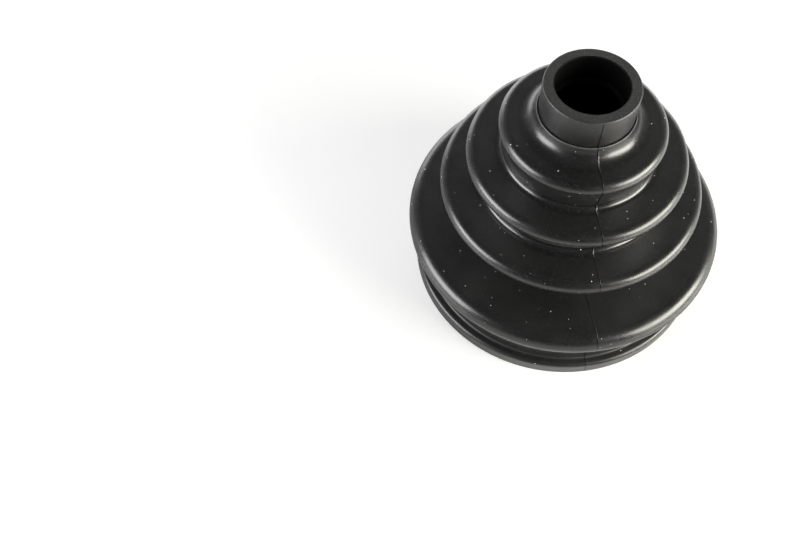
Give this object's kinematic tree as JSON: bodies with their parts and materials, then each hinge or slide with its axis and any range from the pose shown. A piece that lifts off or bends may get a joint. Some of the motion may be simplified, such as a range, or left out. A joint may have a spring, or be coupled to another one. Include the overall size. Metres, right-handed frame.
{
  "type": "rubber bellows boot",
  "caption": "Conical rubber bellows boot that shields a shaft joint: a narrow neck with a sealing lip, four round-edged folds with level tops widening downward, and a flanged collar with a band seat.",
  "frame": {"origin": "on the boot's axis in the plane of its base, the face of the wide end that it stands on", "axes": "+Z along the axis from the wide end to the neck, -Y toward the front; the mould seam lies 5.2 degrees to the +X side of -Y"},
  "size_m": [0.1076, 0.1076, 0.089],
  "materials": {
    "black_rubber": "satin moulded black rubber with a fine grain and a little white dust"
  },
  "bodies": {
    "root": {"boot": "black_rubber"}
  },
  "joints": []
}
